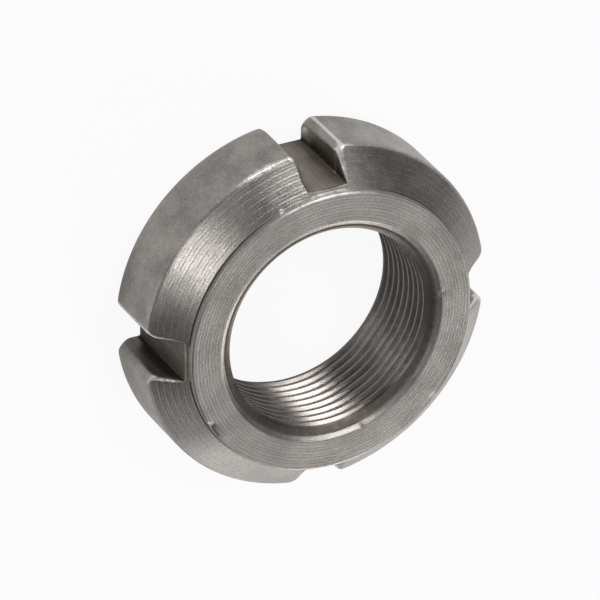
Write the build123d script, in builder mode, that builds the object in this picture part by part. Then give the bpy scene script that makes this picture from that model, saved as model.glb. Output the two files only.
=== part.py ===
"""Round lock nut, turned and milled from one piece of steel.

The bore is on Z and the flat back face lies on Z = 0. The other end is a
smaller flat face, with a cone running down from it to the outer diameter.
Four spanner slots are milled across the rim, along the bore axis.
The bore is drawn smooth, at the crests of its fine thread.
"""

import os
from math import radians, tan

from build123d import *

# Turned body, in millimetres
outer_diameter = 36.5
thickness = 11.1
face_diameter = 29.9
land_height = 0.65
cone_height = 2.9
back_edge_radius = 1.5
shoulder_radius = 0.8
face_edge_break = 0.2

# Threaded bore: 22.2 mm across the thread roots, 24 threads to 25.4 mm
crest_diameter = 21.1
countersink_diameter = 23.7
countersink_angle = 120

# Spanner slots with parallel walls, their mouths bevelled at 45 degrees
slot_count = 4
slot_depth = 3.05
slot_width = 4.2
slot_corner_radius = 0.25
slot_mouth_bevel = 0.8

# Section of the body, worked out from the sizes above
outer_radius = outer_diameter / 2
face_radius = face_diameter / 2
crest_radius = crest_diameter / 2
countersink_radius = countersink_diameter / 2
countersink_depth = (countersink_radius - crest_radius) / tan(radians(countersink_angle / 2))
land_bottom = thickness - land_height
shoulder = land_bottom - cone_height

# Outline of one slot, which runs out past the rim by its own depth
floor_radius = outer_radius - slot_depth
bevel_radius = outer_radius - slot_mouth_bevel
reach_radius = outer_radius + slot_depth
half_width = slot_width / 2
reach_half = half_width + reach_radius - bevel_radius

# Half section of the turned body. It stands between two slots.
with BuildSketch(Plane.XZ.rotated((0, 0, 180 / slot_count))) as section:
    with BuildLine():
        Polyline(
            (crest_radius, countersink_depth),
            (countersink_radius, 0),
            (outer_radius, 0),
            (outer_radius, shoulder),
            (face_radius, land_bottom),
            (face_radius, thickness),
            (countersink_radius, thickness),
            (crest_radius, thickness - countersink_depth),
            close=True,
        )
    make_face()
    back_corner = section.vertices().group_by(Axis.Y)[0].sort_by(Axis.X)[-1]
    fillet(back_corner, radius=back_edge_radius)
    shoulder_corner = section.vertices().group_by(Axis.X)[-1].sort_by(Axis.Y)[-1]
    fillet(shoulder_corner, radius=shoulder_radius)
    face_corner = section.vertices().group_by(Axis.Y)[-1].sort_by(Axis.X)[-1]
    chamfer(face_corner, length=face_edge_break)

# Outline of one slot, on X
with BuildSketch() as slot:
    with BuildLine():
        Polyline(
            (floor_radius, half_width),
            (bevel_radius, half_width),
            (reach_radius, reach_half),
            (reach_radius, -reach_half),
            (bevel_radius, -half_width),
            (floor_radius, -half_width),
            close=True,
        )
    make_face()
    floor_corners = slot.vertices().group_by(Axis.X)[0]
    fillet(floor_corners, radius=slot_corner_radius)

with BuildPart() as lock_nut:
    # Body turned about the bore axis
    add(section.sketch)
    revolve(axis=Axis.Z)

    # Spanner slots, cut from face to face
    with PolarLocations(0, slot_count):
        add(slot.sketch)
    extrude(amount=thickness, mode=Mode.SUBTRACT)

lock_nut.part.label = "lock_nut"

os.makedirs("parts", exist_ok=True)
export_step(lock_nut.part, "parts/lock_nut.step")
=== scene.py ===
"""Looks of a round lock nut: its whole surface as one fine mesh with the thread cut in, its turned
and milled steel, and a plain pale studio. Sizes are in millimetres, and meshes are put in metres."""

from math import cos, radians, sin, tan

import bmesh
import bpy
import numpy as np
from mathutils import Matrix, Vector


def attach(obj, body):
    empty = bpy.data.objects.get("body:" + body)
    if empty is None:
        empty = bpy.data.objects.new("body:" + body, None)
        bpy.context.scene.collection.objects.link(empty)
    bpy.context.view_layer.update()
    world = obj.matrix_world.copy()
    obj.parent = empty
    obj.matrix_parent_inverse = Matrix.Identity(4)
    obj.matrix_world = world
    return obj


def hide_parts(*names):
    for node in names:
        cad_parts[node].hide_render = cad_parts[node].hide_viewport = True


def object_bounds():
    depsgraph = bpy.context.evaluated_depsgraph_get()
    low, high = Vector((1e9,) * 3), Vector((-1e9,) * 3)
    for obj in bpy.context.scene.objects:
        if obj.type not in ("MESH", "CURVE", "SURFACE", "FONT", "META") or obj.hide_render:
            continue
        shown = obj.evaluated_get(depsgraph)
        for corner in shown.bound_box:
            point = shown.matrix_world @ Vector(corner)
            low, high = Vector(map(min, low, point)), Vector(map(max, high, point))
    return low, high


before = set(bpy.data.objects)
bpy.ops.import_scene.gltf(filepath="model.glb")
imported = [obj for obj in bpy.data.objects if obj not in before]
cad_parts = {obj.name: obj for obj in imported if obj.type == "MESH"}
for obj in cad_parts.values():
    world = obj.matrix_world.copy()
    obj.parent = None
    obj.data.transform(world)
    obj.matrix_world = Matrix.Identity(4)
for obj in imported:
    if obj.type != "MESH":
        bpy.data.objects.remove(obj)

cad_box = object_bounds()
mm = 0.001

# Turned body
outer_radius = 18.25
face_radius = 14.95
thickness = (cad_box[1].z - cad_box[0].z) / mm
land_height = 0.65
cone_height = 2.9
back_edge_radius = 1.5
shoulder_radius = 0.8
face_edge_break = 0.17
bore_edge_break = 0.07
land_bottom = thickness - land_height
shoulder = land_bottom - cone_height

# Foot of the land, where it meets the cone
foot_rounding = 0.06

# Threaded bore: a 60 degree thread with a flat an eighth of the pitch wide at its roots
crest_radius = 10.55
root_radius = 11.11
pitch = 25.4 / 24
thread_half_angle = 30
thread_turn = 328

# Softened corners of the thread: along its flanks, at its crests and at its roots
flank_rounding = 0.035
crest_rounding = 0.02
root_rounding = 0.005

# Countersinks, whose mesh meets that of the thread at sunk_depth below each face
countersink_radius = 11.85
countersink_angle = 120
countersink_slope = tan(radians(countersink_angle / 2))
sunk_depth = 0.4

# Spanner slots, with rounded inner corners
slot_count = 4
floor_radius = 15.2
slot_half = 2.1
slot_corner_radius = 0.15
slot_back_break = 0.12

# Bevels of the slots' mouths, and shares of the way from rim to slot floor at which they narrow
slot_mouth_bevel = 0.62
shoulder_mouth_bevel = 0.34
cone_mouth_bevel = 0.2
bevel_narrowing = [0.02, 0.18, 1]
bevel_rounding = 0.24

# Most that corner and bevel take of a shallow slot's depth, and rounding of the bevel's width
corner_share = 0.4
bevel_share = 0.3
rounding_share = 0.4

# End of a slot on the cone: its depth where it starts to run out, and how softly it ends
run_out_depth = 0.1
run_out_rounding = 0.04

# Distance over which a run-out's columns spread, and angle over which its corner eases
run_out_reach = 0.3
run_out_ease = radians(0.25)

# Distance from the land at which a slot's floor stops
run_out_stop = 0.08

# Dents of use, as radius, angle, height, reach and depth. One with a negative depth is a burr.
dents = [
    (14.95, 209, thickness, 0.45, 0.22),
    (14.95, 212.5, thickness, 0.35, 0.12),
    (11.85, 6, thickness, 0.30, 0.12),
    (11.85, 285, thickness - 0.2, 0.30, 0.12),
    (15.05, 110, land_bottom, 0.20, -0.09),
    (18.25, 124, shoulder, 0.40, 0.05),
    (14.95, 318, thickness, 0.35, 0.07),
]

# Radius and height, in the ring's section under the face, that dents are pressed towards
pressed_towards = (13.4, thickness - 1.5)

# Wear of a dent and of a burr
dent_wear = 0.1
burr_wear = 2.2

# Steps of the mesh round half a slot and half a lug, from the middle of the slot
floor_steps = 5
corner_steps = 4
wall_steps = 5
mouth_steps = 5
lug_steps = 45
wall_end_step = floor_steps + corner_steps + wall_steps
columns = 2 * slot_count * (wall_end_step + mouth_steps + lug_steps)
column_angle = 360 / columns

# Power by which a lug's columns crowd towards the slot, and least angle between two columns
lug_crowding = 1.35
least_gap = radians(0.08)

# Rows of the mesh up the outside, round the small edges and to one pitch of the thread
back_edge_rows = 13
rim_rows = 7
shoulder_rows = 10
cone_rows = 10
edge_rows = 4
face_edge_rows = 5
thread_rows = 9

# Rows of a slot's run-out, as distances in from its start
run_out_rows = np.append(0.025 * np.arange(1, 11), [0.29, 0.35, 0.42])

# Circles of the back face, as radius and spread of their columns
back_circles = [(12.2, 1.0), (12.9, 0.8), (13.8, 0.4), (14.6, 0.0)]

# Points of the back face's straight lines, as shares of their way out
back_shares = [0.5, 0.93]

# Circles of the front face, as radius, spread of their columns and wear
front_circles = [
    (14.62, 0.0, 0.2),
    (14.4, 0.1, 0.1),
    (14.1, 0.2, 0),
    (13.4, 0.6, 0),
    (12.6, 0.9, 0),
    (12.15, 1.0, 0.1),
    (12.05, 1.0, 0.15),
]

# Circles in the countersinks, as depth and wear and painted light: in the front one a painted highlight
# near the face and darker deeper in, and in the back one darker
front_sunk_circles = [(0.13, 0.5), (0.2, 0.2), (0.3, -0.6)]
back_sunk_circle = (0.3, -0.5)

# Height of the land's own circle above its bottom
land_middle = 0.12

# Wear and painted light, from 1, bright, to -1, dark, at steps past the end of a slot's wall: the slot
# goes darker towards its corner and wall, and its mouths are rubbed bright, partly as a painted highlight
slot_darkening = [-14, -9, -5, -4, -2, 0], [0, -0.5, -0.9, -0.9, -0.5, 0]
rim_mouth_wear_and_sheen = [0, 1, 2, 3, 4, 5, 6], [0, 0.3, -0.1, 0.1, 1.1, 1.1, 0]
cone_mouth_wear_and_sheen = [-2, -1, 0, 1, 2, 4, 6], [0, 0.2, 1.0, 1.1, 0.7, 0.5, 0]
back_mouth_wear_and_sheen = [-5, -3, -1, 0], [0, 1.3, 1.2, 0.1]
shoulder_mouth_highlight = [-1, 0, 5, 7], [0, 0.9, 1.1, 0]
run_out_wear_and_sheen = [-1, 0, 5, 7], [0, 0.8, 0.8, 0]

# Heights over which the wear and painted highlight of the mouths near the back face fade
back_wear_heights = [1.2, 2.6]

# Depths below a face over which the dark of the bore's ends fades on the thread
thread_wear_depths = [0.65, 1.6]

# Height below the shoulder from which the rim's wear and painted light turns into the cone's
shoulder_wear_height = 0.6

# Painted highlight at the mouths over the shoulder: how far above it its middle lies, and its reach
mouth_highlight_rise = 0.1
mouth_highlight_reach = 0.4

# Painted highlight on the shoulder's sides beside the top slot: how far below it their middle lies, and
# their reach
side_highlight_drop = 0.08
side_highlight_reach = 0.36

# Painted shade in the crease at the foot of the land and its reach, and the reach of the painted
# highlight there
foot_painted_shade = -0.9
foot_painted_shade_reach = 0.11
foot_highlight_reach = 0.12

# Wear and painted highlight of the edge of a slot's floor, the depth at which it is most, and its reach
# either way
floor_edge_wear_and_sheen = 0.8
floor_edge_depth = 0.02
floor_edge_reach = 0.04

# Shares of a slot's bright wear and painted highlight on the side that the spanner doesn't press: rim,
# cone and run-out
rim_slack_side = 0.1
cone_slack_side = 0.4
run_out_slack_side = 0.6

# Wear and darkening of circles: the bore's ends and the land made darker, and the rubbing of the rows of
# the face's edge and of the bore's rim
bore_end_darkening = -0.65
land_darkening = -0.3
face_edge_wear = np.array([-0.1, 0.1, 0.2, 0.2, 0.2])
bore_edge_wear = np.array([0.15, 0.1, 0, 0.1])

# Sides given a painted highlight, or painted shade where the amount is negative: middle angle, width,
# amount
shoulder_left_of_slot = (109, 9, 1.1)
shoulder_right_of_slot = (80, 4, 0.6)
slot_on_the_left = (180, 5, -0.45)
foot_of_top_slot = (92, 22, 0.9)
run_out_of_top_slot = (90, 6, -0.6)
land_at_top_slot = (92, 22, 1.2)
face_edge_at_top_slot = (92, 22, 0.7)
face_edge_away = (325, 55, -0.9)
bore_edge_at_top = (130, 75, -0.5)
countersink_at_top = (130, 75, -0.6)

# Margins by which the finish of a face is told from its middle
back_margin = 0.004
face_margin = 0.12
thread_margin = 0.08
cut_margin = 0.02
wall_margin = 0.01

# Distance in metres under which points are merged, and angle over which an edge stays a crease
weld_distance = 2e-8
crease_angle = radians(35)


def steps(count):
    """Evenly spaced shares of a stretch, without its start: 1/count, 2/count ... 1."""
    return np.arange(1, count + 1) / count


def bell(distance, width):
    """A bell curve: e to the power of minus the square of distance over width."""
    return np.exp(-((distance / width) ** 2))


def slot_section(rho, bevel, widen):
    """Half of the body's section at each height, from the middle of a slot to the middle of a lug,
    as x and y with one row for each height. rho is the turned radius, bevel the width of the bevel
    at the slot's mouth, and widen how far the slot is opened out by an edge break.

    The floor is the line x = floor and the wall the line y = side. The corner is an arc that touches
    both. The bevel runs straight between points that lie its width from the corner of wall and rim,
    with both of its own edges rounded as short parabolas. The lug is an arc of rho."""
    rho, bevel, widen = (np.broadcast_to(v, np.shape(rho))[:, None] for v in (rho, bevel, widen))
    floor = floor_radius - widen
    side = slot_half + widen
    wall_end = np.sqrt(rho**2 - side**2)
    depth = wall_end - floor
    corner = np.minimum(slot_corner_radius, corner_share * depth)
    bevel = np.minimum(bevel, bevel_share * depth)
    rounding = np.minimum(bevel_rounding, rounding_share * bevel)

    turn = np.pi * (1 - steps(corner_steps) / 2)
    floor_y = (side - corner) * np.arange(floor_steps + 1) / floor_steps
    corner_x = floor + corner + corner * np.cos(turn)
    corner_y = side - corner + corner * np.sin(turn)

    wall_start = floor + corner
    wall_stop = wall_end - bevel - rounding
    wall_x = wall_start + (wall_stop - wall_start) * steps(wall_steps)

    rim_angle = np.arctan2(side, wall_end) + bevel / rho
    lug_angle = rim_angle + rounding / rho
    inner = np.stack([wall_end - bevel, side])
    outer = np.stack([rho * np.cos(rim_angle), rho * np.sin(rim_angle)])
    wall_last = np.stack([wall_stop, side])
    lug_start = np.stack([rho * np.cos(lug_angle), rho * np.sin(lug_angle)])
    # A 45 degree bevel is about 1.4 times as long as it is wide
    bevel_length = bevel * 1.4
    across = (outer - inner) * rounding / bevel_length
    soft_inner = (wall_last + 3 * inner + across) / 4
    soft_outer = (lug_start + 3 * outer - across) / 4
    mouth = np.concatenate([soft_inner, inner + across, outer - across, soft_outer, lug_start], axis=2)

    lug = lug_angle + (np.pi / slot_count - lug_angle) * steps(lug_steps) ** lug_crowding
    x = np.concatenate([floor + 0 * floor_y, corner_x, wall_x, mouth[0], rho * np.cos(lug)], axis=1)
    y = np.concatenate([floor_y, corner_y, side + 0 * wall_x, mouth[1], rho * np.sin(lug)], axis=1)
    return x, y


def spread_out(angles, gap):
    """Angles that grow by at least gap from one column to the next: the running maximum of angle
    less column times gap, plus column times gap."""
    ladder = np.asarray(gap)[..., None] * np.arange(angles.shape[-1])
    return np.maximum.accumulate(angles - ladder, axis=-1) + ladder


def half_angles_past_slot():
    """Column angles of half a slot and lug where the slot starts to run out, and the turned radius
    there: the long side of a right triangle whose others are slot_half and the floor's radius plus
    run_out_depth."""
    rho = np.hypot(floor_radius + run_out_depth, slot_half)
    x, y = slot_section(np.array([rho]), cone_mouth_bevel, 0.0)
    return np.arctan2(y, x)[0], rho


def all_round(half_radius, half_angle):
    """Carries half a slot and lug round the body: mirrored about the slot, then turned to each slot."""
    radius = np.concatenate([half_radius[:, :0:-1], half_radius[:, :-1]], axis=1)
    angle = np.concatenate([-half_angle[:, :0:-1], half_angle[:, :-1]], axis=1)
    turns = [angle + k * 2 * np.pi / slot_count for k in range(slot_count)]
    return np.tile(radius, slot_count), np.concatenate(turns, axis=1)


def side_wear(wear_and_painted_light, slack_side):
    """Carries the rubbing and painted light round the body as all_round does. A spanner presses on one
    side of each slot, and slack_side is the share of the bright rubbing and painted highlight that the
    other side has."""
    pressed = all_round(wear_and_painted_light, wear_and_painted_light)[0]
    share = np.concatenate([np.ones(wear_and_painted_light.shape[1] - 1), np.full(wear_and_painted_light.shape[1] - 1, slack_side)])
    return np.where(pressed > 0, pressed * np.tile(share, slot_count), pressed)


def painted_light_on_side(grid, side, share=1.0):
    """Paints a highlight on one side of a grid, or shade where the amount is negative. The side is given
    as its middle angle, width and amount, and the point's value grows by the amount times share times a
    bell curve of the angle from the middle."""
    angle, width, amount = side
    grid = grid.copy()
    turn = np.degrees(np.arctan2(grid[..., 1], grid[..., 0])) - angle
    grid[..., 3] += amount * share * bell((turn + 180) % 360 - 180, width)
    return grid


def laid(radius, angle, z, wear_and_painted_light):
    """A grid as x, y, z and the rubbing and painted light of each point: x and y are the radius times the
    cosine and sine of the angle.
    """
    x = radius * np.cos(angle)
    y = radius * np.sin(angle)
    return np.stack([x, y, z + 0 * x, wear_and_painted_light + 0 * x], axis=2)


def arc_rows(centre, radius, start, stop, count):
    """Points of an arc in the section plane: centre plus radius times cosine and sine, from start
    to stop in degrees, both ends taken."""
    turn = np.radians(np.linspace(start, stop, count))
    return np.stack([centre[0] + radius * np.cos(turn), centre[1] + radius * np.sin(turn)], axis=1)


def corner_rows(before, corner, after, length, count):
    """A rounded corner in the section plane: a parabola that touches both sides at length from it."""
    before, corner, after = (np.array(p, dtype=float) for p in (before, corner, after))
    first = corner + (before - corner) * length / np.linalg.norm(before - corner)
    last = corner + (after - corner) * length / np.linalg.norm(after - corner)
    t = np.linspace(0, 1, count)[:, None]
    return (1 - t) ** 2 * first + 2 * t * (1 - t) * corner + t**2 * last


def cone_z(rho):
    """Height of the cone at a radius: a straight line from the shoulder in to the land's bottom."""
    return shoulder + (outer_radius - rho) * cone_height / (outer_radius - face_radius)


def sunk_radius(depth):
    """Radius of a countersink at a depth below its face: its widest less depth times its slope."""
    return countersink_radius - countersink_slope * depth


def outside_rows():
    """The turned section from the back face, round the back edge, up the rim, over the shoulder and
    up the cone to where the slots run out, as rows of radius, height, bevel and widening. Back edge
    and shoulder are arcs, rim and cone straight. The bevel narrows with the way in from the rim, and
    the widening at the back face is a quarter circle of slot_back_break."""
    back_centre = (outer_radius - back_edge_radius, back_edge_radius)
    back = arc_rows(back_centre, back_edge_radius, -90, 0, back_edge_rows)
    slant = np.degrees(np.arctan2(outer_radius - face_radius, cone_height))
    rim_top = shoulder - shoulder_radius * tan(radians(slant / 2))
    over = arc_rows((outer_radius - shoulder_radius, rim_top), shoulder_radius, 0, slant, shoulder_rows)
    rim = [(outer_radius, z) for z in np.linspace(back_edge_radius, rim_top, rim_rows)[1:-1]]
    last = half_angles_past_slot()[1]
    cone = [(r, cone_z(r)) for r in np.linspace(over[-1, 0], last, cone_rows)[1:]]
    rows = np.concatenate([back, rim, over, cone])
    z = rows[:, 1]
    way_in = np.where(z > rim_top, outer_radius - rows[:, 0], 0) / (outer_radius - floor_radius)
    bevel = np.interp(way_in, bevel_narrowing, [slot_mouth_bevel, shoulder_mouth_bevel, cone_mouth_bevel])
    low = np.clip(slot_back_break - z, 0, None)
    widen = slot_back_break - np.sqrt(slot_back_break**2 - low**2)
    return rows[:, 0], z, bevel, widen


def slotted_grid():
    """Points of the body's outside wherever the slots cut it: slot_section at each height of
    outside_rows, carried all round. Their rubbing and painted light is mixed from the rim's to the cone's
    over the shoulder, with a painted highlight on the shoulder at the mouths and beside the top slot, and
    painted shade in the slot on the left."""
    rho, z, bevel, widen = outside_rows()
    x, y = slot_section(rho, bevel, widen)
    past_wall = np.arange(x.shape[1])[None] - wall_end_step
    inside = np.interp(past_wall, *slot_darkening)
    at_back = np.interp(z, back_wear_heights, [1, 0])[:, None]
    on_rim = inside + np.interp(past_wall, *rim_mouth_wear_and_sheen)
    on_rim = on_rim + at_back * np.interp(past_wall, *back_mouth_wear_and_sheen)
    # Painted highlight at the mouths over the shoulder
    at_corner = bell(z - shoulder - mouth_highlight_rise, mouth_highlight_reach)[:, None]
    on_cone = inside + np.interp(past_wall, *cone_mouth_wear_and_sheen)
    on_cone = on_cone + at_corner * np.interp(past_wall, *shoulder_mouth_highlight)
    up = np.clip((z - shoulder + shoulder_wear_height) / shoulder_wear_height, 0, 1)[:, None]
    wear_and_painted_light = side_wear(on_rim, rim_slack_side) * (1 - up) + side_wear(on_cone, cone_slack_side) * up
    radius, angle = all_round(np.hypot(x, y), np.arctan2(y, x))
    # Painted highlight on the shoulder beside the top slot, and painted shade in the slot on the left
    at_shoulder = bell(z - shoulder + side_highlight_drop, side_highlight_reach)[:, None]
    grid = painted_light_on_side(laid(radius, angle, z[:, None], wear_and_painted_light), shoulder_left_of_slot, at_shoulder)
    grid = painted_light_on_side(grid, shoulder_right_of_slot, at_shoulder**2)
    return painted_light_on_side(grid, slot_on_the_left)


def run_out_grid():
    """The last of each slot, where its floor comes out on the cone, then the corner of cone and land.
    A column's depth below the cone is zero past the slot's corner. Within it, the depth is the
    amount by which the turned radius is over the floor's own, floor over the cosine. It is softened,
    as the logarithm of 1 plus its exponential, and eased in from the corner, by 3 times the square of
    the way less 2 times its cube."""
    half, first = half_angles_past_slot()
    foot = corner_rows((outer_radius, shoulder), (face_radius, land_bottom), (face_radius, thickness),
                       foot_rounding, edge_rows)
    rho = np.concatenate([first - run_out_rows, foot[:, 0]])
    z = np.concatenate([cone_z(first - run_out_rows), foot[:, 1]])
    way_out = np.clip((first - rho) / run_out_reach, 0, 1)
    angle = spread_out(half + 0 * rho[:, None], least_gap * way_out)
    corner_angle = half[floor_steps + corner_steps]
    inside = np.clip((corner_angle - angle) / run_out_ease, 0, 1)
    over = rho[:, None] - floor_radius / np.cos(np.minimum(angle, corner_angle))
    softened = run_out_rounding * np.logaddexp(0, over / run_out_rounding)
    depth = softened * inside * inside * (3 - 2 * inside)
    depth = np.where(rho[:, None] < face_radius + run_out_stop, 0, depth)

    past_wall = np.arange(half.size) - wall_end_step
    mouth = np.interp(past_wall, *run_out_wear_and_sheen) * (1 - way_out)[:, None]
    floor_edge = inside * np.clip(1 - np.abs(depth - floor_edge_depth) / floor_edge_reach, 0, 1)
    # Painted shade in the crease where the cone meets the land
    foot_shade = foot_painted_shade * bell(z - land_bottom, foot_painted_shade_reach)[:, None]
    wear_and_painted_light = np.maximum(floor_edge_wear_and_sheen * floor_edge, mouth) + foot_shade * (1 - floor_edge)
    wear_and_painted_light = side_wear(wear_and_painted_light, run_out_slack_side)
    radius, angle = all_round(rho[:, None] - depth, angle)
    # Painted highlight near the land below the top slot, and painted shade on that slot's run-out
    near_land = bell(z - land_bottom, foot_highlight_reach)[:, None]
    grid = painted_light_on_side(laid(radius, angle, z[:, None], wear_and_painted_light), foot_of_top_slot, near_land)
    return painted_light_on_side(grid, run_out_of_top_slot, 1 - near_land)


def circle_grid(section, spread, wear_and_painted_light=0):
    """Rows that are whole circles, with column angles of 1 less spread times the slots' own and
    spread times even ones."""
    section = np.asarray(section, dtype=float)
    spread = np.broadcast_to(spread, section.shape[:1])[:, None]
    half = spread_out(half_angles_past_slot()[0], least_gap)
    even = radians(column_angle) * np.arange(half.size)
    angle = (1 - spread) * half + spread * even
    radius, angle = all_round(section[:, :1] + 0 * angle, angle)
    return laid(radius, angle, section[:, 1:], np.broadcast_to(wear_and_painted_light, section.shape[:1])[:, None])


def back_face_grid(outline):
    """The flat back face: circles eased outwards, then straight lines to the outline of its rim."""
    radius, spread = np.array(back_circles).T
    rings = circle_grid([(r, 0) for r in radius], spread)
    share = np.array(back_shares)[:, None, None]
    return np.concatenate([rings, rings[-1] + (outline - rings[-1]) * share])


def land_and_face_grid():
    """The land, the rounded edge of the front face and the face itself, as circles, with a painted
    highlight on the land and edge at the top slot and painted shade on the edge away from it.
    """
    land = circle_grid([(face_radius, land_bottom + land_middle)], 0.0, land_darkening)
    edge = corner_rows((face_radius, land_bottom), (face_radius, thickness),
                       (countersink_radius, thickness), face_edge_break, face_edge_rows)
    edge = painted_light_on_side(circle_grid(edge, 0.0, face_edge_wear), face_edge_at_top_slot)
    radius, spread, wear_and_painted_light = np.array(front_circles).T
    face = circle_grid([(r, thickness) for r in radius], spread, wear_and_painted_light)
    return np.concatenate([painted_light_on_side(land, land_at_top_slot), painted_light_on_side(edge, face_edge_away), face])


def smooth_grid():
    """All but the thread, as one grid of rows: out of the back countersink, over the back face, up
    the outside, in over the front face and down the front countersink to sunk_depth."""
    back_end = (sunk_radius(sunk_depth), sunk_depth)
    front_end = (sunk_radius(sunk_depth), thickness - sunk_depth)
    back_rim = corner_rows(back_end, (countersink_radius, 0), (outer_radius, 0),
                           bore_edge_break, edge_rows)
    front_rim = corner_rows((face_radius, thickness), (countersink_radius, thickness), front_end,
                            bore_edge_break, edge_rows)
    back_depth, back_wear = back_sunk_circle
    front_side = [(sunk_radius(depth), thickness - depth) for depth, _ in front_sunk_circles]
    front_wear = np.array([wear_and_painted_light for _, wear_and_painted_light in front_sunk_circles])
    outside = slotted_grid()
    return np.concatenate([
        circle_grid([back_end], 1.0, bore_end_darkening),
        circle_grid([(sunk_radius(back_depth), back_depth)], 1.0, back_wear),
        circle_grid(back_rim, 1.0),
        back_face_grid(outside[0]),
        outside,
        run_out_grid(),
        land_and_face_grid(),
        # Painted shade on the bore's rim and front countersink on the top side
        painted_light_on_side(circle_grid(front_rim, 1.0, bore_edge_wear), bore_edge_at_top),
        painted_light_on_side(circle_grid(front_side, 1.0, front_wear), countersink_at_top),
        circle_grid([front_end], 1.0, bore_end_darkening),
    ])


def thread_grid(low, high):
    """The thread as a helix: every row climbs one pitch a turn, and thread_rows of them draw one
    pitch of the profile: root, flank, crest and flank, with softened corners. A row's radius is the
    larger of the profile's and the countersinks', and its height is held between low and high, where
    the thread has run out in the countersinks."""
    root_at = pitch / 2
    half_flat = pitch / 8 / 2
    flank_end = root_at - half_flat
    flank_start = flank_end - (root_radius - crest_radius) * tan(radians(thread_half_angle))
    soft = flank_rounding
    offset = np.array([
        -root_at,
        -flank_end - soft / 2,
        -flank_end + soft,
        -flank_start - soft / 2,
        -flank_start + soft,
        flank_start - soft,
        flank_start + soft / 2,
        flank_end - soft,
        flank_end + soft / 2,
    ])
    knot_z = [-flank_end, -flank_start, flank_start, flank_end]
    knot_radius = [root_radius, crest_radius, crest_radius, root_radius]
    radius = np.interp(offset, knot_z, knot_radius)
    radius[[3, 6]] = crest_radius + crest_rounding
    radius[[1, 8]] = root_radius - root_rounding

    turn_count = int(np.ceil((high - low) / pitch)) + 2
    z = low + pitch * (np.arange(turn_count)[:, None] - 1) + offset + pitch / 2
    angle = 2 * np.pi * np.arange(columns) / columns
    climb = pitch * (angle / (2 * np.pi) - thread_turn / 360)
    z = np.clip(z.ravel()[:, None] + climb, low, high)
    depth = np.minimum(z, thickness - z)
    radius = np.maximum(np.tile(radius, turn_count)[:, None], sunk_radius(depth))
    wear_and_painted_light = np.interp(depth, thread_wear_depths, [bore_end_darkening, 0])
    return laid(radius, angle - np.pi / slot_count, z, wear_and_painted_light)


def grid_faces(rows, first, climb):
    """Faces between neighbouring rows and columns of a grid whose points are numbered from first.
    Where the last column meets the first one, it joins the row that is climb rows further on."""
    row = np.arange(rows - 1)[:, None]
    column = np.arange(columns)
    following = (column + 1) % columns
    lift = np.where(column + 1 == columns, climb, 0)
    a = first + row * columns + column
    b = first + (row + lift) * columns + following
    inside = (row + lift >= 0) & (row + lift < rows - 1)
    return np.stack([a, b, b + columns, a + columns], axis=2)[inside]


def dented(points):
    """Presses each dent in by its depth times a bell curve of the distance from its place, and rubs it
    a little. A burr stands out in the same way and is bright."""
    points = points.copy()
    for radius, angle, height, reach, depth in dents:
        outward = np.array([cos(radians(angle)), sin(radians(angle)), 0])
        place = radius * outward + np.array([0, 0, height])
        inward = pressed_towards[0] * outward + np.array([0, 0, pressed_towards[1]]) - place
        distance = np.sqrt(np.sum((points[..., :3] - place) ** 2, axis=-1, keepdims=True))
        share = bell(distance, reach)
        points[..., :3] += depth * share * inward / np.linalg.norm(inward)
        points[..., 3:] += (dent_wear if depth > 0 else burr_wear) * share
    return points


def finish_index(middle):
    """The finish of each face, by its middle: 0 the cone and its shoulder, 1 the slots, which lie
    under the turned section, 2 the thread, 3 the faces and countersinks and 4 the rim."""
    radius = np.hypot(middle[:, 0], middle[:, 1])
    height = middle[:, 2]
    across = np.minimum(np.abs(middle[:, 0]), np.abs(middle[:, 1]))
    between_walls = across < slot_half + wall_margin
    rho, z, _, _ = outside_rows()
    under = np.interp(height, z, rho) - radius
    on_back = height < back_margin
    threaded = radius < root_radius + thread_margin
    milled = (radius > face_radius) & ~on_back & (under > cut_margin) & between_walls
    faced = (height > thickness - face_margin) | on_back | (radius < countersink_radius)
    rim = height < shoulder
    return np.select([threaded, milled, faced, rim], [2, 1, 3, 4], 0).astype("i")


def nut_mesh():
    """Joins the grids into one mesh, whose brightening by rubbing and painted highlight, and darkening,
    partly painted shade, is kept on its points. The thread's rows run from the front to the back, and
    its last column joins the row a pitch further up."""
    smooth = smooth_grid()
    thread = thread_grid(sunk_depth, thickness - sunk_depth)[::-1]
    points = dented(np.concatenate([smooth.reshape(-1, 4), thread.reshape(-1, 4)]))
    faces = np.concatenate([
        grid_faces(len(smooth), 0, 0),
        grid_faces(len(thread), len(smooth) * columns, -thread_rows),
    ])
    mesh = bpy.data.meshes.new("nut_body")
    mesh.from_pydata((points[:, :3] * mm).tolist(), [], faces.tolist())
    # Each point's rubbing and painted highlight, above 0, and darkening, partly painted shade, below 0
    mesh.attributes.new("wear_and_painted_light", "FLOAT", "POINT").data.foreach_set("value", points[:, 3].astype("f"))
    mesh.polygons.foreach_set("material_index", finish_index(points[faces, :3].mean(axis=1)))
    return mesh


def join_and_smooth(mesh):
    """Merges the points that meet, drops faces without area and shades all but creases smooth."""
    work = bmesh.new()
    work.from_mesh(mesh)
    bmesh.ops.remove_doubles(work, verts=work.verts, dist=weld_distance)
    bmesh.ops.dissolve_degenerate(work, edges=work.edges, dist=weld_distance)
    work.to_mesh(mesh)
    work.free()
    mesh.shade_smooth()
    mesh.set_sharp_from_angle(angle=crease_angle)


nut_data = nut_mesh()
join_and_smooth(nut_data)
nut = bpy.data.objects.new("nut_body", nut_data)
bpy.context.scene.collection.objects.link(nut)
weighting = nut.modifiers.new("even_shading", "WEIGHTED_NORMAL")
weighting.keep_sharp = True
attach(nut, "root")
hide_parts("lock_nut")


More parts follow.
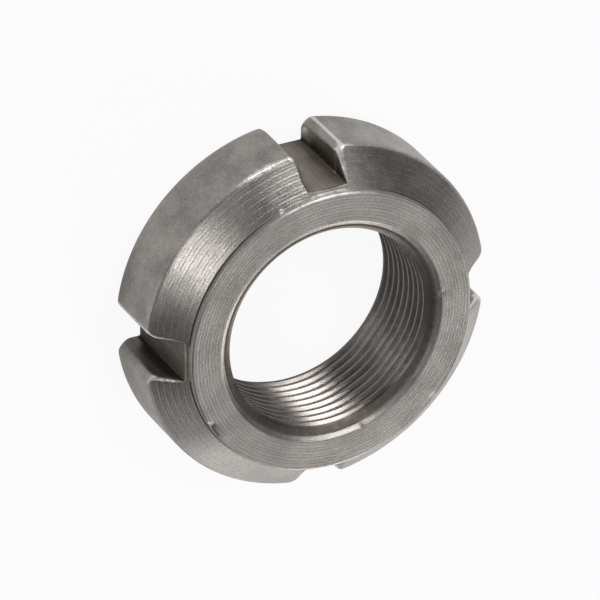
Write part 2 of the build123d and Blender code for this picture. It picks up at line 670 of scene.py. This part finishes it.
def add_node(tree, kind, inputs=None, **settings):
    """Adds a shader node. inputs gives a named or numbered socket its value, or what feeds it."""
    node = tree.nodes.new(kind)
    for name, value in settings.items():
        setattr(node, name, value)
    for name, value in (inputs or {}).items():
        if isinstance(value, bpy.types.NodeSocket):
            tree.links.new(value, node.inputs[name])
        else:
            node.inputs[name].default_value = value
    return node


def maths(tree, operation, *values):
    """The result of a Math node."""
    return add_node(tree, "ShaderNodeMath", dict(enumerate(values)), operation=operation).outputs[0]


def vector_maths(tree, operation, *values, result="Vector"):
    """The result of a Vector Math node: a vector, or a Value where the operation gives one."""
    inputs = dict(enumerate(values))
    return add_node(tree, "ShaderNodeVectorMath", inputs, operation=operation).outputs[result]


def ease(tree, value, start, stop, low=0.0, high=1.0):
    """Goes smoothly from low, where the value is at start, to high, where it is at stop."""
    inputs = dict(enumerate((value, start, stop, low, high)))
    return add_node(tree, "ShaderNodeMapRange", inputs, interpolation_type="SMOOTHSTEP").outputs[0]


def mixed(tree, share, first, second):
    """A mix of two values: the first where share is 0, the second where it is 1."""
    return add_node(tree, "ShaderNodeMix", {0: share, 2: first, 3: second}).outputs[0]


def mixed_colour(tree, share, first, second):
    """A mix of two colours: the first where share is 0, the second where it is 1."""
    return add_node(tree, "ShaderNodeMix", {0: share, 6: first, 7: second}, data_type="RGBA").outputs[2]


def noise(tree, vector, scale, detail, roughness=0.5):
    """A Noise Texture's value."""
    inputs = {"Vector": vector, "Scale": scale, "Detail": detail, "Roughness": roughness}
    return add_node(tree, "ShaderNodeTexNoise", inputs, noise_dimensions="3D").outputs[0]


def add_group(tree, group, values):
    """Places a node group with its values and gives its outputs."""
    return add_node(tree, "ShaderNodeGroup", values, node_tree=group).outputs


def node_group(name, inputs, outputs):
    """A shader node group, with the sockets that its inputs arrive by and its outputs leave by."""
    tree = bpy.data.node_groups.new(name, "ShaderNodeTree")
    for label, kind in inputs.items():
        tree.interface.new_socket(label, in_out="INPUT", socket_type="NodeSocket" + kind)
    for label, kind in outputs.items():
        tree.interface.new_socket(label, in_out="OUTPUT", socket_type="NodeSocket" + kind)
    return tree, tree.nodes.new("NodeGroupInput").outputs, tree.nodes.new("NodeGroupOutput").inputs


# Values between which most of a noise lies
noise_range = (0.3, 0.7)

# Wandering of the turned lines: its scale, and by how many lines they wander
wander_scale = 350.0
wander_lines = 0.5

# How often stray scratches change round the nut, and from line to line
scratches_round = (8, 8, 0)
scratches_to_a_line = 1.3

# Height of the even lines, and the middle height that marks lie about
line_height = 0.3
middle_height = 0.5

# Side of the nut where the tool cut deeper, and cosines from it between which the marks fade
deep_side = (-0.87, 0.5, 0)
fading_cosines = (0.8, 0.2)

# Noise that breaks up wear and painted light: its scale, then what it is multiplied by and what is added
# to it
ragged_scale = 1500.0
rubbed_and_highlight_shares = (1.6, 0.2)
dark_and_shade_shares = (0.35, 0.82)

# Broken up wear and painted light at which each kind, bright and dark, starts to show, and at which it
# shows whole
rubbed_and_highlight_range = (0.25, 1.0)
dark_and_shade_range = (-0.1, -0.9)


def turning_marks():
    """Lines that a lathe tool leaves round Z. Outward and Upward are the lines to a metre of radius and
    of height, and their sum, a little uneven, is the place in the feed: a cosine of it gives even lines,
    with Second the weight of every second one. Stray scratches are noise that changes fast with the same
    place and slowly round the axis, and such noise breaks up the even lines too, whose share is Evenness.
    The tool cut deeper on one side of the nut, and Fading is what the marks lose away from that side."""
    tree, given, out = node_group("turning_marks", {
        "Position": "Vector", "Outward": "Float", "Upward": "Float",
        "Second": "Float", "Evenness": "Float", "Fading": "Float",
    }, {"Height": "Float"})
    flat = vector_maths(tree, "MULTIPLY", given["Position"], (1, 1, 0))
    radius = vector_maths(tree, "LENGTH", flat, result="Value")
    height = add_node(tree, "ShaderNodeSeparateXYZ", {0: given["Position"]}).outputs["Z"]
    rise = maths(tree, "MULTIPLY", height, given["Upward"])
    feed = maths(tree, "MULTIPLY_ADD", radius, given["Outward"], rise)
    wander = noise(tree, given["Position"], wander_scale, detail=1.0)
    feed = maths(tree, "ADD", feed, maths(tree, "MULTIPLY", wander, wander_lines))

    each = maths(tree, "COSINE", maths(tree, "MULTIPLY", feed, 2 * np.pi))
    every_second = maths(tree, "COSINE", maths(tree, "MULTIPLY", feed, np.pi))
    second = maths(tree, "MULTIPLY", every_second, given["Second"])
    outward = vector_maths(tree, "NORMALIZE", flat)
    around = vector_maths(tree, "MULTIPLY", outward, scratches_round)
    lines = maths(tree, "MULTIPLY", feed, scratches_to_a_line)
    along = add_node(tree, "ShaderNodeCombineXYZ", {"Z": lines}).outputs[0]
    place = vector_maths(tree, "ADD", around, along)
    stray = noise(tree, place, scale=1.0, detail=2.0, roughness=0.6)
    breaks = noise(tree, place, scale=1.7, detail=0.0)
    broken = ease(tree, breaks, start=0.3, stop=0.65, low=0.3, high=1.0)
    both = maths(tree, "ADD", each, second)
    even = maths(tree, "MULTIPLY_ADD", both, maths(tree, "MULTIPLY", broken, line_height), middle_height)
    marks = mixed(tree, given["Evenness"], stray, even)

    facing = vector_maths(tree, "DOT_PRODUCT", outward, deep_side, result="Value")
    lost = maths(tree, "MULTIPLY", ease(tree, facing, *fading_cosines), given["Fading"])
    tree.links.new(mixed(tree, lost, marks, middle_height), out["Height"])
    return tree


def milling_marks():
    """Lines that a cutter leaves along Z, so the noise is stretched that way. Across and Along are its
    scales across and along them."""
    tree, given, out = node_group("milling_marks", {
        "Position": "Vector", "Across": "Float", "Along": "Float",
    }, {"Height": "Float"})
    scales = {0: given["Across"], 1: given["Across"], 2: given["Along"]}
    fine = add_node(tree, "ShaderNodeCombineXYZ", scales).outputs[0]
    place = vector_maths(tree, "MULTIPLY", given["Position"], fine)
    tree.links.new(noise(tree, place, scale=1.0, detail=2.0, roughness=0.6), out["Height"])
    return tree


def steel_grain():
    """Fine speckle of bare steel over broad, faint clouds."""
    tree, given, out = node_group("steel_grain", {
        "Position": "Vector", "Fineness": "Float",
    }, {"Speckle": "Float", "Cloud": "Float"})
    speckle = noise(tree, given["Position"], given["Fineness"], detail=3.0, roughness=0.65)
    tree.links.new(speckle, out["Speckle"])
    cloud = noise(tree, given["Position"], scale=330.0, detail=3.0, roughness=0.6)
    tree.links.new(cloud, out["Cloud"])
    return tree


def wear_and_painted_light_masks():
    """Bright places, edges rubbed by use and painted highlights, much broken up by the grain of the
    steel, and dark places, partly painted shade, a little broken up by it. Each is the point's rubbing
    and painted light times a noise that is multiplied by the first of its shares and raised by the
    second, eased from none to whole."""
    tree, given, out = node_group("wear_and_painted_light_masks", {
        "Position": "Vector", "Wear_and_painted_light": "Float",
    }, {"Rubbed_and_highlight": "Float", "Dark_and_shade": "Float"})
    ragged = noise(tree, given["Position"], ragged_scale, detail=2.0)
    for label, shares, values in (("Rubbed_and_highlight", rubbed_and_highlight_shares, rubbed_and_highlight_range),
                                  ("Dark_and_shade", dark_and_shade_shares, dark_and_shade_range)):
        uneven = maths(tree, "MULTIPLY_ADD", ragged, *shares)
        shown = maths(tree, "MULTIPLY", given["Wear_and_painted_light"], uneven)
        tree.links.new(ease(tree, shown, *values), out[label])
    return tree


grain = steel_grain()
wear_and_light_group = wear_and_painted_light_masks()
turning = turning_marks()
milling = milling_marks()

# Tints of steel where it is darkened, partly painted shade, and where it is rubbed bright, partly painted
# highlight, and what each adds to the roughness
dark_and_shade_tint = (0.07, 0.055, 0.045, 1)
rubbed_and_highlight_tint = (0.78, 0.77, 0.75, 1)
dark_and_shade_roughness = 0.3
rubbed_and_highlight_roughness = -0.05

# Change of the roughness over the grain's clouds, and fineness of its speckle
cloud_roughness = 0.04
speckle_fineness = 6500


def steel(name, tint, roughness, marks, values, mark_depth, speckle_depth, shades):
    """Bare steel of one finish. values go to the marks' inputs. Marks and speckle are bumps, in
    millimetres, and shades says how much marks, speckle and clouds lighten and darken the tint."""
    material = bpy.data.materials.new(name)
    material.use_nodes = True
    tree = material.node_tree
    shader = tree.nodes["Principled BSDF"]
    shader.inputs["Metallic"].default_value = 1.0
    position = add_node(tree, "ShaderNodeTexCoord").outputs["Object"]
    wear_and_painted_light = add_node(tree, "ShaderNodeAttribute", attribute_name="wear_and_painted_light").outputs["Fac"]
    line = add_group(tree, marks, {"Position": position} | values)
    speck = add_group(tree, grain, {"Position": position, "Fineness": speckle_fineness})
    wear_and_light_masks = add_group(tree, wear_and_light_group, {"Position": position, "Wear_and_painted_light": wear_and_painted_light})

    light = 1.0
    for value, amount in zip((line["Height"], speck["Speckle"], speck["Cloud"]), shades):
        light = maths(tree, "MULTIPLY", ease(tree, value, *noise_range, 1 - amount, 1 + amount), light)
    body = add_node(tree, "ShaderNodeVectorMath", {0: tint, "Scale": light}, operation="SCALE").outputs[0]
    # Darkening, partly painted shade, then rubbing and painted highlight, laid over the steel's tint
    dark = mixed_colour(tree, wear_and_light_masks["Dark_and_shade"], body, dark_and_shade_tint)
    tree.links.new(mixed_colour(tree, wear_and_light_masks["Rubbed_and_highlight"], dark, rubbed_and_highlight_tint), shader.inputs["Base Color"])

    least = roughness - cloud_roughness
    most = roughness + cloud_roughness
    rough = ease(tree, speck["Cloud"], *noise_range, least, most)
    rough = maths(tree, "MULTIPLY_ADD", wear_and_light_masks["Rubbed_and_highlight"], rubbed_and_highlight_roughness, rough)
    rough = maths(tree, "MULTIPLY_ADD", wear_and_light_masks["Dark_and_shade"], dark_and_shade_roughness, rough)
    tree.links.new(rough, shader.inputs["Roughness"])

    lines = add_node(tree, "ShaderNodeBump", {"Height": line["Height"], "Distance": mark_depth * mm})
    specks = add_node(tree, "ShaderNodeBump", {"Height": speck["Speckle"], "Distance": speckle_depth * mm,
                                               "Normal": lines.outputs[0]})
    tree.links.new(specks.outputs[0], shader.inputs["Normal"])
    return material


def turned(material, stretch):
    """Stretches the gloss across lines that run round Z, a quarter turn from the tangent round it."""
    tree = material.node_tree
    shader = tree.nodes["Principled BSDF"]
    shader.inputs["Anisotropic"].default_value = stretch
    shader.inputs["Anisotropic Rotation"].default_value = 0.25
    around = add_node(tree, "ShaderNodeTangent", direction_type="RADIAL", axis="Z")
    tree.links.new(around.outputs[0], shader.inputs["Tangent"])
    return material


# Tints of the steel, and the lines of each finish
bright = (0.368, 0.345, 0.324)
brown = (0.315, 0.280, 0.250)
# A darker, browner tint for the thread
darker_thread_tint = (0.305, 0.280, 0.262)
faced_lines = {"Outward": 3030, "Upward": 8120, "Second": 0.3, "Evenness": 0.7}
coned_lines = {"Outward": 3030, "Upward": 8120, "Second": 1.0, "Evenness": 0.7, "Fading": 0.65}
rim_lines = {"Outward": 3030, "Upward": 5000, "Second": 0, "Evenness": 0.1}
bore_lines = {"Outward": 6000, "Upward": 6000, "Second": 0, "Evenness": 0.1}
slot_lines = {"Across": 2500, "Along": 120}

# In the order that finish_index counts them
finishes = [
    turned(steel("turned_steel", bright, 0.32, turning, coned_lines,
                 mark_depth=0.024, speckle_depth=0.018, shades=(0.12, 0.26, 0.06)), stretch=0.4),
    steel("milled_steel", brown, 0.40, milling, slot_lines,
          mark_depth=0.010, speckle_depth=0.005, shades=(0.1, 0.12, 0.12)),
    turned(steel("threaded_steel", darker_thread_tint, 0.26, turning, bore_lines,
                 mark_depth=0.004, speckle_depth=0.003, shades=(0.08, 0.1, 0.1)), stretch=0.4),
    turned(steel("faced_steel", bright, 0.34, turning, faced_lines,
                 mark_depth=0.012, speckle_depth=0.014, shades=(0.13, 0.2, 0.05)), stretch=0.1),
    turned(steel("rim_steel", bright, 0.30, turning, rim_lines,
                 mark_depth=0.004, speckle_depth=0.009, shades=(0.03, 0.22, 0.20)), stretch=0.3),
]
for finish in finishes:
    nut.data.materials.append(finish)

# Camera's directions, fitted to the photographed circles, and their turn about Z to suit the slots
camera_right = (0.8941, 0.0523, 0.4449)
camera_down = (-0.1684, -0.8810, 0.4421)
camera_turn = -3.4

# Camera's distance, and how far it is moved aside, both to its right and down, and up along Z
camera_distance = 42.45 * outer_radius
camera_aside = 0.0018 * camera_distance
camera_rise = 0.0537 * outer_radius


def camera_at_photo_angle():
    """A long lens far from the nut, looking along the cross product of its right and down."""
    turn = Matrix.Rotation(radians(camera_turn), 3, "Z")
    right = turn @ Vector(camera_right)
    down = turn @ Vector(camera_down)
    ahead = right.cross(down).normalized()
    down = ahead.cross(right).normalized()
    right = down.cross(ahead)
    place = camera_aside * (right + down) - camera_distance * ahead + Vector((0, 0, camera_rise))
    lens = bpy.data.cameras.new("camera")
    lens.lens = 480
    lens.sensor_width = 36
    lens.clip_start = 0.01
    lens.clip_end = 20
    camera = bpy.data.objects.new("camera", lens)
    pose = Matrix((right, -down, -ahead)).transposed().to_4x4()
    pose.translation = place * mm
    camera.matrix_world = pose
    bpy.context.scene.collection.objects.link(camera)
    bpy.context.scene.camera = camera


camera_at_photo_angle()

# Floor, in metres, a hair below the back face, so that the two don't share a plane
floor_reach = 3
floor_height = -0.02 * mm
floor_signs = [(-1, -1), (1, -1), (1, 1), (-1, 1)]
floor_corners = [(floor_reach * x, floor_reach * y, floor_height) for x, y in floor_signs]
floor_mesh = bpy.data.meshes.new("floor")
floor_mesh.from_pydata(floor_corners, [], [(0, 1, 2, 3)])
floor = bpy.data.objects.new("floor", floor_mesh)
bpy.context.scene.collection.objects.link(floor)


def white_to_the_eye(tree, surface, output, shown, mirrored):
    """Mixes plain white into a surface or the world before it reaches the output: shown of it as the
    camera sees it, and mirrored of it as metal does. The rest stays lit and shaded."""
    rays = add_node(tree, "ShaderNodeLightPath").outputs
    glossy = maths(tree, "MAXIMUM", rays["Is Glossy Ray"], rays["Is Transmission Ray"])
    reflected = maths(tree, "MULTIPLY", glossy, mirrored)
    share = maths(tree, "MULTIPLY_ADD", rays["Is Camera Ray"], shown, reflected)
    plain = add_node(tree, "ShaderNodeEmission", {"Color": (1, 1, 1, 1), "Strength": 1.0}).outputs[0]
    mix = add_node(tree, "ShaderNodeMixShader", {0: share, 1: surface, 2: plain}).outputs[0]
    tree.links.new(mix, tree.nodes[output].inputs["Surface"])


pale = bpy.data.materials.new("pale_floor")
pale.use_nodes = True
pale_shader = pale.node_tree.nodes["Principled BSDF"]
pale_shader.inputs["Base Color"].default_value = (0.9, 0.9, 0.9, 1)
pale_shader.inputs["Roughness"].default_value = 0.9
pale_shader.inputs["Specular IOR Level"].default_value = 0.1
white_to_the_eye(pale.node_tree, pale_shader.outputs[0], "Material Output", shown=0.92, mirrored=0.12)
floor_mesh.materials.append(pale)

world = bpy.data.worlds.new("studio")
bpy.context.scene.world = world
world.use_nodes = True
air = world.node_tree.nodes["Background"]
air.inputs["Color"].default_value = (1, 1, 1, 1)
air.inputs["Strength"].default_value = 0.14
white_to_the_eye(world.node_tree, air.outputs[0], "World Output", shown=1.0, mirrored=0.0)


def softbox(name, towards, away, width, depth, brightness):
    """A soft lamp in metres, away from the nut and turned to it. Its power is the brightness of its own
    face times pi times its area."""
    light = bpy.data.lights.new(name, "AREA")
    light.shape = "RECTANGLE"
    light.size = width
    light.size_y = depth
    light.energy = brightness * np.pi * width * depth
    lamp = bpy.data.objects.new(name, light)
    towards = Vector(towards).normalized()
    lamp.location = towards * away
    lamp.rotation_euler = towards.to_track_quat("Z", "Y").to_euler()
    bpy.context.scene.collection.objects.link(lamp)


# Lamps: name, direction, distance, width, depth and brightness
softbox("key_light", (0.56, -0.72, 0.41), 0.7, 0.52, 0.26, 5.0)
softbox("low_light", (0.77, -0.63, 0.14), 0.7, 0.20, 0.14, 5.0)
softbox("cone_light", (-0.69, 0.34, 0.64), 0.5, 0.18, 0.16, 5.0)
softbox("thread_light", (0.29, 0.47, 0.84), 0.5, 0.20, 0.16, 6.5)
softbox("edge_light", (0.16, 0.97, 0.13), 0.5, 0.48, 0.08, 5.2)
softbox("face_light", (0.27, -0.12, 0.96), 0.5, 0.40, 0.40, 0.5)
softbox("left_light", (0.16, -0.98, 0.11), 0.5, 0.42, 0.09, 3.0)
softbox("side_light", (-0.52, -0.83, 0.20), 0.5, 0.22, 0.14, 0.6)
softbox("fill_light", (-0.66, 0.38, 0.64), 0.52, 0.60, 0.18, 0.5)

bpy.context.scene.view_settings.view_transform = "Standard"
